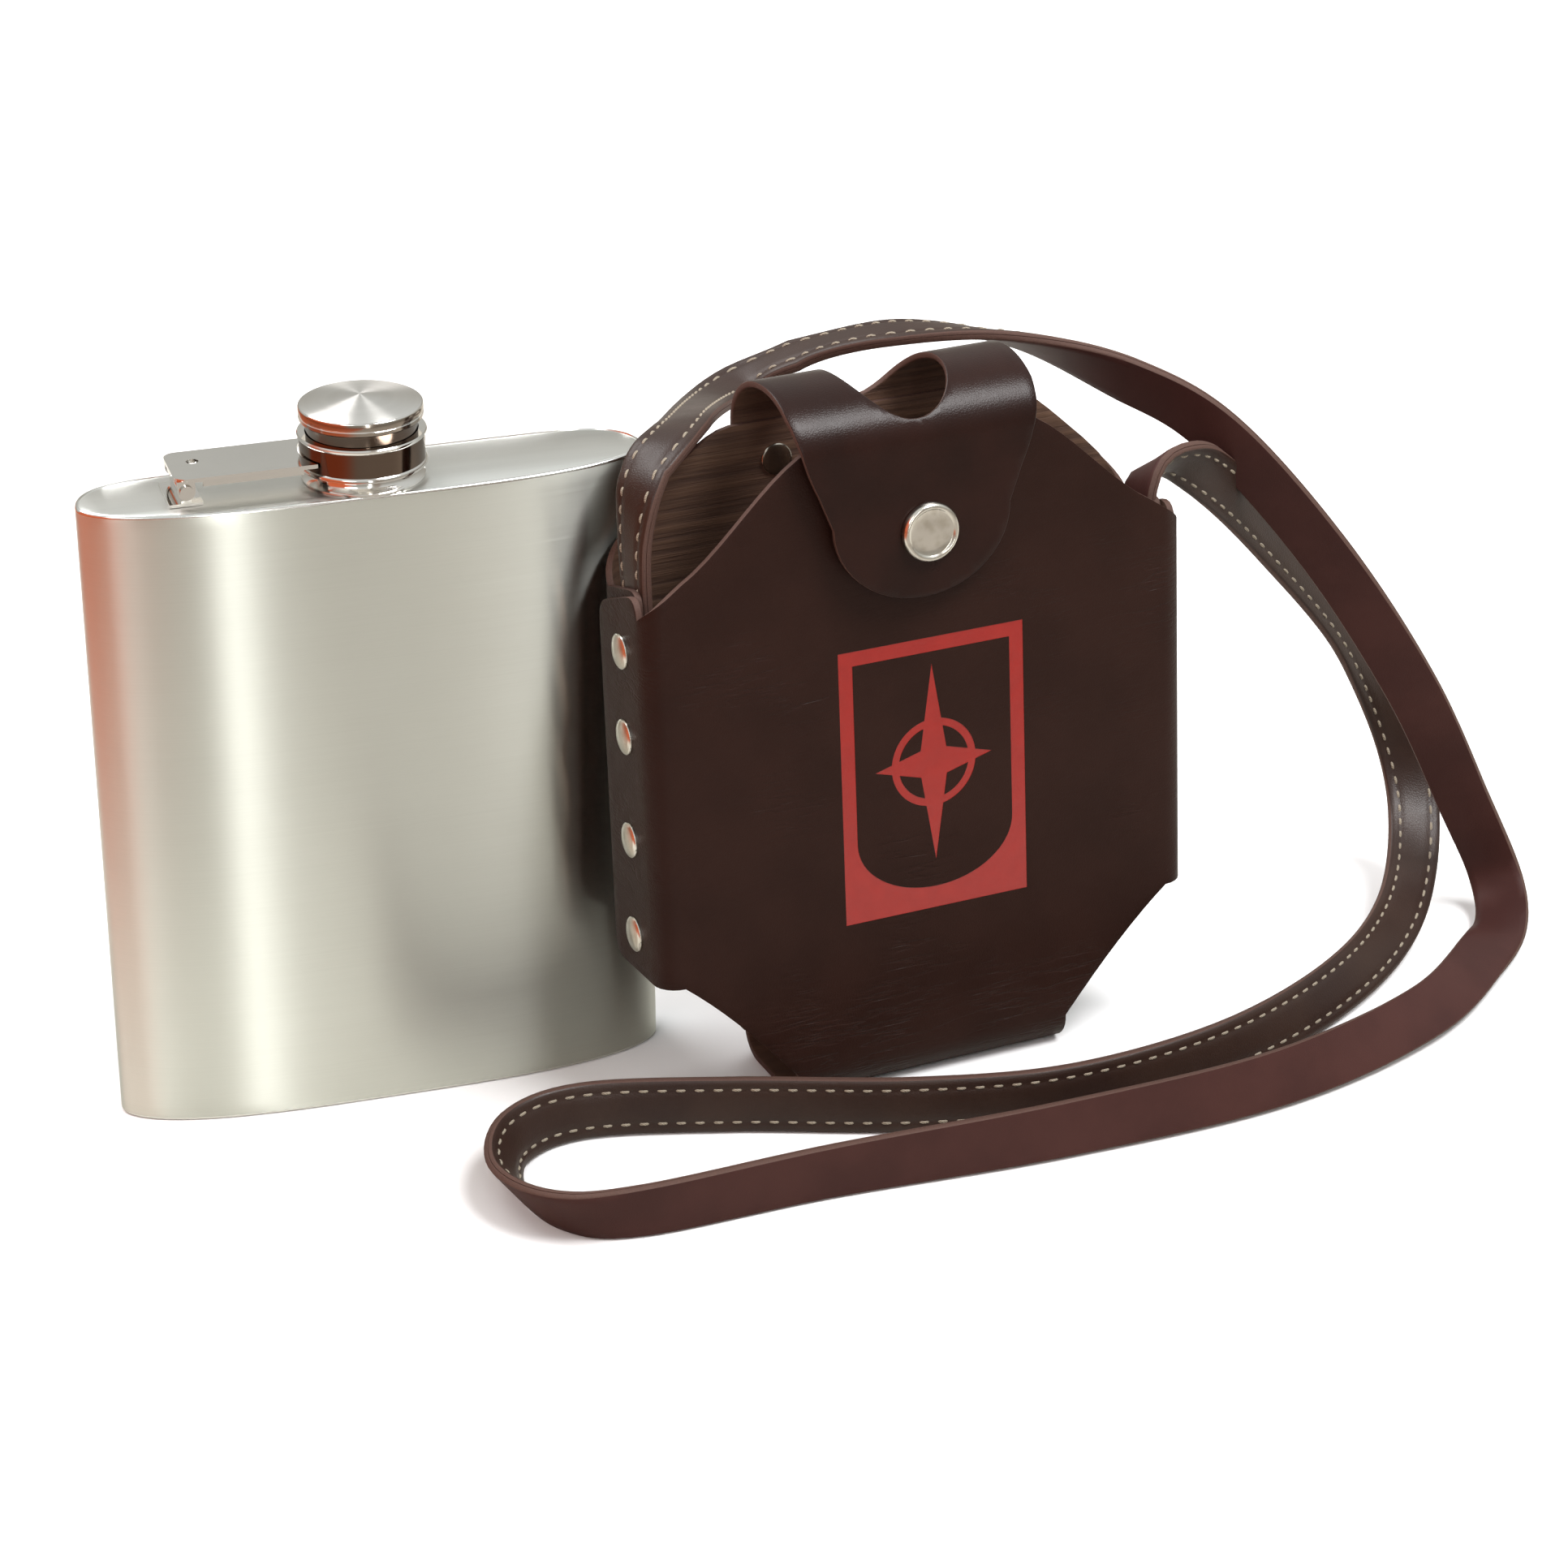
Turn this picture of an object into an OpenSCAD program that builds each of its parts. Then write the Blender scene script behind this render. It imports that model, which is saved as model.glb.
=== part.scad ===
// Steel hip flask with a captive screw cap, beside its leather case on a shoulder strap.

/* [Flask] */
// Width of the flask body
flask_w = 138; // [120:1:139]
// Height of the flask body
flask_h = 162; // [140:1:170]
// Depth of the flask body
flask_d = 29; // [26:0.5:29.5]
// Thickness of the steel sheet
wall_t = 0.8; // [0.6:0.1:1.2]

/* [Cap] */
// Diameter of the cap head
cap_d = 29.8; // [28:0.1:30.5]
// Outer diameter of the captive sleeve
sleeve_d = 31; // [31:0.1:33]
// Diameter over the neck thread
thread_d = 22; // [20:0.1:22]
// Rise of the cap for one turn
thread_pitch = 3; // [2:0.5:3]
// Distance from the hinge pin to the cap axis
arm_reach = 44; // [42:0.5:50]
// Width of the cap arm
arm_w = 18; // [14:1:20]

/* [Case] */
// Outer width of the case
case_w = 145; // [144:1:150]
// Outer depth of the case
case_d = 33; // [33:0.5:38]
// Thickness of the leather
leather_t = 1.6; // [1.2:0.1:1.6]
// Backward lean of the standing case
case_lean = 4; // [0:0.5:5]
// Height of the shoulders, where the side wings end
shoulder_h = 139; // [130:1:140]
// Diameter of the side rivets
rivet_d = 9; // [7:0.5:10]
// Diameter of the press stud's cap
snap_d = 15; // [12:0.5:15]

/* [Strap] */
// Width of the shoulder strap
strap_w = 14; // [10:1:14]
// Thickness of the strap, both layers together
strap_t = 3; // [2:0.2:3]

/* [Hidden] */
$fn = 64;

// Where the flask and the case stand, and how far the case is turned from the flask.
flask_at = [-66, 18, 0];
case_at = [63.5, -26.5, 0];
case_yaw = 7.5;

steel = [0.78, 0.78, 0.75];
nickel = [0.72, 0.71, 0.68];
silicone = [0.9, 0.9, 0.88];
leather = [0.17, 0.09, 0.07];
paint = [0.75, 0.05, 0.04];

// Flask outline: a bulged front, a nearly flat back and round ends.
front_power = 3.2;
back_power = 10;
outline_steps = 96;
plate_t = 1.2;

// Neck and cap heights, measured from the top of the body.
collar_h = 3.3;
neck_h = 10;
neck_bore_r = 8.4;
sleeve_top = 11.8;
head_bottom = 14.9;
head_top = 18.4;
cone_h = 2.1;
skirt_r = 13.4;
skirt_bore_r = thread_d / 2 + 0.8;
lip_t = 1;
flange_r = skirt_r + 0.7;
seal_t = 1.2;
pin_z = 4.2;
pin_r = 0.9;
arm_z = 6.4;
arm_t = 1;
ear_t = 1.1;

// Case.
fold_r = 8;
wing_fold_r = 6;
strip_half = 37.5;
skiver = 0.06;
lap = 0.5;
wing_bottom = 38;
wing_slope = 8;
wing_gap = 0.1;
front_top = 171;
back_top = 168;
rivet_zs = [48, 73, 100, 122];
rivet_y = 16;
post_r = 1.9;
flap_x = -1.5;
flap_half = 32.5;
tongue_half = 23.5;
flap_gap = 3.2;
flap_z = 166;
flap_rise = 14;
flap_rivet_xs = [-22, -7.5, 7.5, 22];
flap_rivet_z = 158;
hole_r = 14;
snap_x = 0;
snap_z = 146;
stud_r = 2.2;
emblem_x = 2;
emblem_z = 81.3;
emblem_w = 50;
emblem_h = 71.5;
emblem_border = 3.8;
paint_t = 0.3;

// The strap's route, from its end inside the left wing to its end inside the right wing.
strap_route = [
    [-6.6, -12.3, 111], [-6.8, -11.4, 124], [-7, -9, 148], [-3, -5, 163], [11, 11.5, 167.5],
    [38, 71, 151], [58.5, 75, 157.5], [82, 64, 165], [110, 56, 163], [136, 39, 155],
    [156, 25, 143], [183, 16, 110], [208, 13, 70], [227, 16, 32], [236, 14, 11],
    [232, 0, 4], [218, -18, 5], [189, -45, 6.5], [141, -66, 7.2], [81, -74, 7.4],
    [21, -76, 7.4], [-27, -80, 7.4], [-46, -74, 7.4], [-54, -57, 7.4], [-48, -38, 7.4],
    [-29, -30, 7.4], [7, -38, 7.4], [51, -52, 7.4], [91, -57, 7.4], [136, -47, 7],
    [176, -24, 7], [205, 6, 8], [221, 34, 19], [221, 47, 40], [205, 45, 72],
    [177, 34, 107], [155, 22, 131], [140, 14, 142], [129.2, 9, 138], [127.2, 5.6, 111]
];
// The way the stitched side of the strap faces at each point of the route.
strap_faces = [
    [-1, -0.1, 0], [-1, -0.1, 0], [-1, -0.2, 0.1], [-0.8, -0.5, 0.5], [-0.4, -0.5, 0.8],
    [-0.1, -0.2, 1], [0, -0.1, 1], [0, 0, 1], [0.2, 0.4, 0.9], [0.3, 0.9, 0.4],
    [0.4, 0.9, 0.3], [0.5, 0.8, 0.1], [0.4, 0.9, 0], [0.5, 0.8, -0.1], [0.5, 0.2, -0.7],
    [0.2, 0, -1], [-0.3, 0.3, -0.9], [-0.3, 0.6, -0.7], [-0.2, 0.9, -0.4], [0, 1, -0.2],
    [0, 1, 0], [0.1, 1, 0.1], [0.6, 0.6, 0.4], [0.8, 0, 0.6], [0.7, -0.6, 0.4],
    [0.1, -1, 0.2], [0, -1, 0.1], [0, -1, 0.1], [0, -1, 0.1], [0.4, -0.8, 0.3],
    [0.5, -0.6, 0.6], [0.3, -0.5, 0.8], [-0.1, -0.8, 0.6], [-0.2, -1, 0.1], [0.1, -0.8, 0.4],
    [0.1, -0.9, 0.4], [0.1, -1, 0.1], [0.2, -0.7, -0.7], [0.9, 0, -0.4], [1, 0.1, 0]
];
strap_steps = 2;

// Points round the flask, drawn in by the given inset.
function power_x(c, power) = sign(c) * pow(abs(c), 2 / power);
function flask_outline(inset) = [
    for (i = [0 : outline_steps - 1])
        let (a = (i + 0.5) * 360 / outline_steps, c = cos(a), s = sin(a))
        [(flask_w / 2 - inset) * power_x(c, s < 0 ? front_power : back_power),
         (flask_d / 2 - inset) * s]
];

module on_flask() {
    translate(flask_at) children();
}

module on_body_top() {
    translate(flask_at + [0, 0, flask_h]) children();
}

module ring(r_out, r_in, z0, z1) {
    translate([0, 0, z0]) difference() {
        cylinder(r = r_out, h = z1 - z0);
        translate([0, 0, -1]) cylinder(r = r_in, h = z1 - z0 + 2);
    }
}

module flask_wall() {
    color(steel) on_flask() translate([0, 0, plate_t])
        linear_extrude(flask_h - 2 * plate_t) difference() {
            polygon(flask_outline(0));
            polygon(flask_outline(wall_t));
        }
}

module flask_top_plate() {
    color(steel) on_flask() difference() {
        translate([0, 0, flask_h - plate_t]) linear_extrude(plate_t) polygon(flask_outline(0));
        translate([0, 0, flask_h - plate_t - 1]) cylinder(r = thread_d / 2 - 1, h = plate_t + 2);
    }
}

module flask_bottom_plate() {
    color(steel) on_flask() linear_extrude(plate_t) polygon(flask_outline(0));
}

// Flared collar that is welded round the foot of the neck.
module neck_collar() {
    foot_r = 14.8;
    top_r = 13.2;
    color(steel) on_body_top() rotate_extrude()
        polygon([[thread_d / 2, 0], [foot_r, 0], [foot_r, 0.6], [top_r, 2.2],
                 [top_r, collar_h - 0.1], [thread_d / 2, collar_h - 0.1]]);
}

// Neck tube with raised thread turns, pushed through the top plate.
module threaded_neck() {
    root_r = thread_d / 2 - 0.7;
    crest = 0.5;
    color(steel) on_body_top() {
        difference() {
            union() {
                ring(thread_d / 2 - 1, neck_bore_r, -3, 0.5);
                ring(thread_d / 2, neck_bore_r, 0, collar_h);
                ring(root_r, neck_bore_r, collar_h - 0.5, neck_h);
                for (z = [4.2 : 2 : 8.2])
                    translate([0, 0, z]) rotate_extrude()
                        polygon([[root_r - 1, 0], [root_r, 0], [thread_d / 2, crest],
                                 [thread_d / 2, 2 * crest], [root_r, 3 * crest], [root_r - 1, 3 * crest]]);
            }
            translate([0, 0, -4]) cylinder(r = neck_bore_r, h = neck_h + 5);
        }
    }
}

module at_hinge() {
    translate(flask_at + [-arm_reach, 0, flask_h + pin_z]) rotate([90, 0, 0]) children();
}

// Knuckle on a welded foot, bored for the hinge pin.
module hinge_bracket() {
    knuckle_w = arm_w - 2 * ear_t - 0.8;
    color(steel) difference() {
        union() {
            on_body_top() translate([-arm_reach - 4, -knuckle_w / 2, 0]) cube([8, knuckle_w, 0.8]);
            on_body_top() translate([-arm_reach - 1.2, -knuckle_w / 2, 0]) cube([2.4, knuckle_w, pin_z]);
            at_hinge() cylinder(r = pin_r + 0.95, h = knuckle_w, center = true);
        }
        at_hinge() cylinder(r = pin_r + 0.06, h = knuckle_w + 2, center = true);
    }
}

module hinge_pin() {
    color(nickel) at_hinge() {
        cylinder(r = pin_r, h = arm_w + 0.6, center = true);
        for (side = [-1, 1])
            translate([0, 0, side * (arm_w / 2 + 0.35)]) cylinder(r = 1.7, h = 0.7, center = true);
    }
}

// Stamped strip from the hinge to the sleeve, with two ears that hold the pin.
module cap_arm() {
    ear_r = 2.1;
    tail = 2.6;
    corner = 3;
    color(steel) difference() {
        union() {
            on_body_top() translate([-arm_reach, 0, arm_z]) {
                translate([corner - tail, -arm_w / 2, 0])
                    cube([arm_reach - 12 - corner + tail, arm_w, arm_t]);
                for (side = [-1, 1])
                    translate([corner - tail, side * (arm_w / 2 - corner), 0]) cylinder(r = corner, h = arm_t);
                translate([-tail, corner - arm_w / 2, 0]) cube([2 * corner, arm_w - 2 * corner, arm_t]);
            }
            for (side = [-1, 1]) {
                at_hinge() translate([0, 0, side * (arm_w - ear_t) / 2])
                    cylinder(r = ear_r, h = ear_t, center = true);
                on_body_top() translate([-arm_reach - ear_r, side * (arm_w - ear_t) / 2 - ear_t / 2, pin_z])
                    cube([2 * ear_r, ear_t, arm_z - pin_z + arm_t / 2]);
            }
            on_body_top() translate([-arm_reach + 4, -arm_w / 2, arm_z - 1.2])
                cube([arm_reach - 20, 0.8, 1.6]);
        }
        on_body_top() translate([0, 0, arm_z - 2]) cylinder(d = sleeve_d, h = 5);
        on_body_top() translate([-arm_reach + 3.5, 2, arm_z - 1]) cylinder(r = 1.5, h = 4);
        at_hinge() cylinder(r = pin_r, h = arm_w + 4, center = true);
    }
}

// Outer ring that keeps the cap on the arm; its top lip catches the cap's flange.
module captive_sleeve() {
    bore_r = flange_r + 0.3;
    lip_r = skirt_r + 0.15;
    out_r = sleeve_d / 2;
    color(nickel) on_body_top() rotate_extrude()
        polygon([[bore_r, collar_h], [out_r, collar_h], [out_r, collar_h + 0.9], [out_r - 0.4, collar_h + 1.3],
                 [out_r - 0.4, sleeve_top - 1.2], [out_r, sleeve_top - 0.8], [out_r, sleeve_top - 0.3],
                 [out_r - 0.3, sleeve_top], [lip_r, sleeve_top], [lip_r, sleeve_top - lip_t],
                 [bore_r, sleeve_top - lip_t]]);
}

module screw_cap() {
    head_r = cap_d / 2;
    color(nickel) on_body_top() rotate_extrude()
        polygon([[skirt_bore_r, collar_h + 0.4], [flange_r, collar_h + 0.4], [flange_r, collar_h + 1.3],
                 [skirt_r, collar_h + 1.3], [skirt_r, head_bottom], [head_r - 0.4, head_bottom],
                 [head_r, head_bottom + 0.4], [head_r, head_top - 0.3], [head_r - 0.3, head_top],
                 [0, head_top + cone_h], [0, neck_h + seal_t + 0.2],
                 [skirt_bore_r, neck_h + seal_t + 0.2]]);
}

module cap_seal() {
    color(silicone) on_body_top() translate([0, 0, neck_h + 0.1])
        cylinder(r = skirt_bore_r - 0.3, h = seal_t);
}

// Frame of the case, and of its panels above the leaning folds.
module on_case() {
    translate(case_at) rotate([0, 0, case_yaw]) children();
}

module on_panels() {
    on_case() translate([0, fold_r, fold_r]) rotate([-case_lean, 0, 0])
        translate([0, -fold_r, -fold_r]) children();
}

// Depth between the outer faces of the leaning panels.
panel_d = 2 * fold_r + (case_d - 2 * fold_r) * cos(case_lean);
back_foot = fold_r - (case_d - 2 * fold_r) * sin(case_lean);

// Sheet of the given outline, upright in XZ, with its front face at y.
module upright(y, t, points) {
    translate([0, y + t, 0]) rotate([90, 0, 0]) linear_extrude(t) polygon(points);
}

function ease(t) = let (u = min(max(t, 0), 1)) u * u * (3 - 2 * u);
function mirrored(half) = concat(half, [for (i = [len(half) - 1 : -1 : 0]) [-half[i][0], half[i][1]]]);
function curve(a, b, c, n) = [for (i = [0 : n]) let (t = i / n) (1 - t) * (1 - t) * a + 2 * t * (1 - t) * b + t * t * c];

// Half outlines of the panels, from a foot that laps the strip to the middle of the top.
front_side = case_w / 2 - wing_fold_r;
back_side = front_side - leather_t - wing_gap;
function lower_edge(foot, side) = curve([strip_half, foot - lap], [54, 28], [side, wing_bottom], 8);
front_half = concat(lower_edge(fold_r, front_side), [
    for (i = [0 : 14]) let (x = front_side - i * (front_side - 20) / 14)
        [x, shoulder_h + (front_top - shoulder_h) * ease((72 - x) / 50)]
]);
back_half = concat(lower_edge(back_foot, back_side), [
    for (i = [0 : 14]) let (x = back_side - i * (back_side - 26) / 14)
        [x, shoulder_h + (back_top - shoulder_h) * ease((79 - x) / 45)]
]);

// Section of the folds and the bottom strip, as a line at the given radius. Its ends go up
// inside the panels, and the strip is a hair thinner than they are, so that no faces coincide.
function bottom_line(r) = let (up = 10, z = fold_r - skiver) concat(
    [[fold_r - r * cos(case_lean) + up * sin(case_lean), z + r * sin(case_lean) + up * cos(case_lean)]],
    [for (i = [0 : 12]) let (a = 180 - case_lean + i * (90 + case_lean) / 12)
        [fold_r + r * cos(a), z + r * sin(a)]],
    [for (i = [0 : 12]) let (a = 270 + i * (90 - case_lean) / 12)
        [case_d - fold_r + r * cos(a), z + r * sin(a)]],
    [[case_d - fold_r + r * cos(case_lean) + up * sin(case_lean),
      z - r * sin(case_lean) + up * cos(case_lean)]]);

// Plan of the front panel with its wings, and of the back panel with its own, which lie inside.
function front_plan(inset) = let (r = wing_fold_r - inset, c = case_w / 2 - wing_fold_r) mirrored(concat(
    [[c + r, panel_d - 3.5]],
    [for (i = [0 : 8]) let (a = -i * 90 / 8) [c + r * cos(a), wing_fold_r + r * sin(a)]]));
function back_plan(inset) = let (r = wing_fold_r - inset, c = case_w / 2 - wing_fold_r - leather_t - wing_gap)
    mirrored(concat(
    [[c + r, wing_fold_r + 3]],
    [for (i = [0 : 8]) let (a = i * 90 / 8) [c + r * cos(a), panel_d - wing_fold_r + r * sin(a)]]));
function band(outer, inner) = concat(outer, [for (i = [len(inner) - 1 : -1 : 0]) inner[i]]);

// Wings between their lower edge and a top edge that falls towards the back.
module wing_zone() {
    rotate([90, 0, 90]) translate([0, 0, -case_w])
        linear_extrude(2 * case_w)
            polygon([[-1, wing_bottom], [panel_d + 1, wing_bottom],
                     [panel_d + 1, shoulder_h - wing_slope], [wing_fold_r, shoulder_h], [-1, shoulder_h]]);
}

module side_holes(r) {
    for (z = rivet_zs)
        translate([0, rivet_y, z]) rotate([0, 90, 0]) cylinder(r = r, h = 2 * case_w, center = true);
}

// One leather blank: front, bottom and back, with four wings folded over each other.
module case_body() {
    color(leather) difference() {
        union() {
            on_case() rotate([90, 0, 90]) translate([0, 0, skiver - strip_half])
                linear_extrude(2 * (strip_half - skiver))
                    polygon(band(bottom_line(fold_r - skiver), bottom_line(fold_r - leather_t + skiver)));
            on_panels() {
                upright(0, leather_t, mirrored(front_half));
                upright(panel_d - leather_t, leather_t, mirrored(back_half));
                intersection() {
                    linear_extrude(shoulder_h + 1) polygon(band(front_plan(0), front_plan(leather_t)));
                    wing_zone();
                }
                intersection() {
                    linear_extrude(shoulder_h + 1) polygon(band(back_plan(0), back_plan(leather_t)));
                    wing_zone();
                }
            }
        }
        on_panels() {
            side_holes(post_r);
            at_snap(0) cylinder(r = post_r, h = 10, center = true);
            translate([0, paint_t, 0]) emblem_solid(1);
            for (x = flap_rivet_xs)
                at_flap_rivet(x) cylinder(r = post_r, h = 10, center = true);
        }
    }
}

// Front view of the flap: a round tongue that widens up to the arms.
function flap_outline() = mirrored(concat(
    [for (i = [0 : 9]) let (a = -90 + i * 9) [tongue_half * cos(a), 150 + 20.5 * sin(a)]],
    [[tongue_half + 0.6, 151], [27.5, 159], [31, 169], [flap_half, 176], [flap_half, 200]]));

// Side section of the flap: up from its root, over the mouth and down the front.
flap_back_y = panel_d + leather_t / 2;
flap_front_y = -flap_gap - leather_t / 2;
function flap_line(side) = let (
    cy = (flap_back_y + flap_front_y) / 2,
    a = (flap_back_y - flap_front_y) / 2 + side * leather_t / 2,
    b = flap_rise + side * leather_t / 2)
    concat(
        [[cy + a, flap_z]],
        [for (i = [0 : 24]) let (t = i * 180 / 24) [cy + a * cos(t), back_top + b * sin(t)]],
        [[cy - a, 120]]);

module case_flap() {
    color(leather) on_panels() difference() {
        union() {
            intersection() {
                rotate([90, 0, 90]) translate([0, 0, flap_x - 60])
                    linear_extrude(120) polygon(band(flap_line(1), flap_line(-1)));
                translate([flap_x, 0, 0]) upright(-20, 80, flap_outline());
            }
            translate([flap_x, flap_back_y, flap_z]) rotate([0, 90, 0])
                cylinder(r = leather_t / 2 - 0.05, h = 2 * flap_half, center = true);
        }
        translate([flap_x, 0, back_top + 2]) hull() {
            translate([0, 11, 0]) cylinder(r = hole_r, h = 30, $fn = 32);
            translate([0, 21, 0]) cylinder(r = hole_r, h = 30, $fn = 32);
        }
        at_snap(-flap_gap) cylinder(r = post_r, h = 6, center = true);
    }
}

// Root of the flap, riveted to the back panel below the bend.
module flap_root() {
    corner = 6;
    root_top = flap_z - 2.3;
    color(leather) on_panels() difference() {
        translate([flap_x, 0, 0]) upright(panel_d, leather_t, [
            [flap_half, root_top], [flap_half, 146 + corner], [flap_half - corner, 146],
            [-flap_half + corner, 146], [-flap_half, 146 + corner], [-flap_half, root_top]]);
        for (x = flap_rivet_xs)
            at_flap_rivet(x) cylinder(r = post_r, h = 12, center = true);
    }
}

module at_flap_rivet(x) {
    translate([flap_x + x, panel_d, flap_rivet_z]) rotate([-90, 0, 0]) children();
}

// Domed rivet head on the plane z = 0, rising along +Z.
module dome(d, h) {
    rim = 0.5;
    r = d / 2;
    rotate_extrude() polygon(concat(
        [[0, 0], [r, 0], [r, rim]],
        [for (i = [1 : 7]) [r * cos(i * 90 / 8), rim + (h - rim) * sin(i * 90 / 8)]],
        [[0, h]]));
}

module flap_rivet_heads() {
    color(nickel) on_panels() for (x = flap_rivet_xs)
        at_flap_rivet(x) {
            translate([0, 0, leather_t]) dome(rivet_d, 1.7);
            translate([0, 0, -leather_t - 0.5]) cylinder(r = post_r, h = 2 * leather_t + 1);
        }
}

module flap_rivet_backs() {
    color(nickel) on_panels() for (x = flap_rivet_xs)
        at_flap_rivet(x) translate([0, 0, -leather_t]) rotate([180, 0, 0]) difference() {
            dome(rivet_d - 1, 1.1);
            translate([0, 0, -1]) cylinder(r = post_r, h = 1.5);
        }
}

// The outer face of each side, and the inner face of what the rivets hold there.
side_stack = 2 * leather_t + wing_gap;
module each_side_rivet() {
    for (side = [-1, 1], z = rivet_zs)
        translate([side * case_w / 2, rivet_y, z]) rotate([0, side * 90, 0]) children();
}

module side_rivet_heads() {
    color(nickel) on_panels() each_side_rivet() {
        dome(rivet_d, 1.7);
        translate([0, 0, -side_stack - 0.5]) cylinder(r = post_r, h = side_stack + 1);
    }
}

// Inner caps: the topmost of each side lies on the strap's end, the others on the wing.
module side_rivet_backs() {
    color(nickel) on_panels() for (side = [-1, 1], z = rivet_zs) {
        stack = side_stack + (z == rivet_zs[3] ? strap_t + 0.2 : 0);
        translate([side * (case_w / 2 - stack), rivet_y, z]) rotate([0, -side * 90, 0]) difference() {
            union() {
                dome(rivet_d - 1, 1.1);
                if (z == rivet_zs[3])
                    translate([0, 0, -strap_t]) cylinder(r = post_r, h = strap_t + 0.3);
            }
            translate([0, 0, -1 - (z == rivet_zs[3] ? strap_t + 0.2 : 0)]) cylinder(r = post_r, h = 1.5);
        }
    }
}

// Axis of the press stud, square to the front panel and pointing outwards from depth y.
module at_snap(y) {
    translate([snap_x, y, snap_z]) rotate([90, 0, 0]) children();
}

module snap_cap() {
    color(nickel) on_panels() at_snap(-flap_gap - leather_t) {
        dome(snap_d, 2.4);
        translate([0, 0, -leather_t]) cylinder(r = post_r, h = leather_t + 0.5);
    }
}

module snap_socket() {
    cavity_r = 3.9;
    color(nickel) on_panels() at_snap(-0.9) difference() {
        cylinder(r = 5.4, h = flap_gap - 0.9);
        translate([0, 0, -1]) cylinder(r = cavity_r, h = 2.6);
    }
}

module snap_stud() {
    color(nickel) on_panels() at_snap(0) {
        cylinder(r = 4.4, h = 0.5);
        cylinder(r = stud_r, h = 1.8);
        translate([0, 0, -leather_t]) cylinder(r = post_r, h = leather_t + 0.2);
    }
}

module snap_stud_back() {
    color(nickel) on_panels() at_snap(leather_t) rotate([180, 0, 0]) cylinder(r = 4.4, h = 0.8);
}

// Emblem: a framed arch with a compass star, sunk into the front panel.
function star(long, wide, waist) = [
    for (i = [0 : 7]) let (a = i * 45, r = i % 2 == 1 ? waist : (i % 4 == 0 ? wide : long))
        [r * cos(a), r * sin(a)]
];

module emblem_shape() {
    field_w = emblem_w / 2 - emblem_border;
    field_top = emblem_h / 2 - emblem_border;
    difference() {
        square([emblem_w, emblem_h], center = true);
        polygon(concat([[-field_w, field_top]],
                       [for (i = [0 : 16]) let (a = 180 + i * 180 / 16) [field_w * cos(a), -15 + 15 * sin(a)]],
                       [[field_w, field_top]]));
    }
    translate([0, 3]) {
        polygon(star(26, 16, 5));
        difference() {
            circle(r = 11.5);
            circle(r = 9.5);
        }
    }
}

module emblem_solid(over) {
    translate([emblem_x, over > 0 ? 0 : paint_t, emblem_z]) rotate([90, 0, 0])
        linear_extrude(over > 0 ? paint_t + over : paint_t - 0.1) emblem_shape();
}

module emblem_paint() {
    color(paint) on_panels() emblem_solid(0);
}

// A smooth curve through the points: its value and its direction at the fraction t of span i.
function at(points, i) = points[min(max(i, 0), len(points) - 1)];
function spline(points, i, t) = let (a = at(points, i - 1), b = at(points, i), c = at(points, i + 1), d = at(points, i + 2))
    0.5 * (2 * b + t * (c - a) + t * t * (2 * a - 5 * b + 4 * c - d) + t * t * t * (3 * b - a - 3 * c + d));
function slope(points, i, t) = spline(points, i, t + 0.01) - spline(points, i, t - 0.01);
function unit(v) = v / norm(v);

// One ring of the strap: a flat section with bevelled edges, facing as the strap faces.
function strap_ring(i, t) = let (
    p = spline(strap_route, i, t),
    along = unit(slope(strap_route, i, t)),
    wish = spline(strap_faces, i, t),
    face = unit(wish - (wish * along) * along),
    across = cross(along, face),
    w = strap_w / 2,
    h = strap_t / 2,
    bevel = 0.7)
    [for (c = [[w, -h + bevel], [w, h - bevel], [w - bevel, h], [bevel - w, h],
               [-w, h - bevel], [-w, bevel - h], [bevel - w, -h], [w - bevel, -h]])
        p + c[0] * across + c[1] * face];

module shoulder_strap() {
    spans = len(strap_route) - 1;
    rings = concat(
        [for (i = [0 : spans - 1], s = [0 : strap_steps - 1]) strap_ring(i, s / strap_steps)],
        [strap_ring(spans - 1, 1)]);
    last = len(rings) - 1;
    color(leather) polyhedron(
        points = [for (r = rings) each r],
        faces = concat(
            [[for (j = [0 : 7]) j]],
            [for (k = [0 : last - 1], j = [0 : 7]) let (a = 8 * k + j, b = 8 * k + (j + 1) % 8) [a, a + 8, b]],
            [for (k = [0 : last - 1], j = [0 : 7]) let (a = 8 * k + j, b = 8 * k + (j + 1) % 8) [b, a + 8, b + 8]],
            [[for (j = [7 : -1 : 0]) 8 * last + j]]));
}

flask_wall();
flask_top_plate();
flask_bottom_plate();
neck_collar();
threaded_neck();
hinge_bracket();
hinge_pin();
cap_arm();
captive_sleeve();
screw_cap();
cap_seal();
case_body();
case_flap();
flap_root();
flap_rivet_heads();
flap_rivet_backs();
side_rivet_heads();
side_rivet_backs();
snap_cap();
snap_socket();
snap_stud();
snap_stud_back();
emblem_paint();
shoulder_strap();
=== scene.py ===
import math

import bmesh
import bpy
from mathutils import Matrix, Vector, kdtree
from mathutils.geometry import delaunay_2d_cdt


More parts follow.
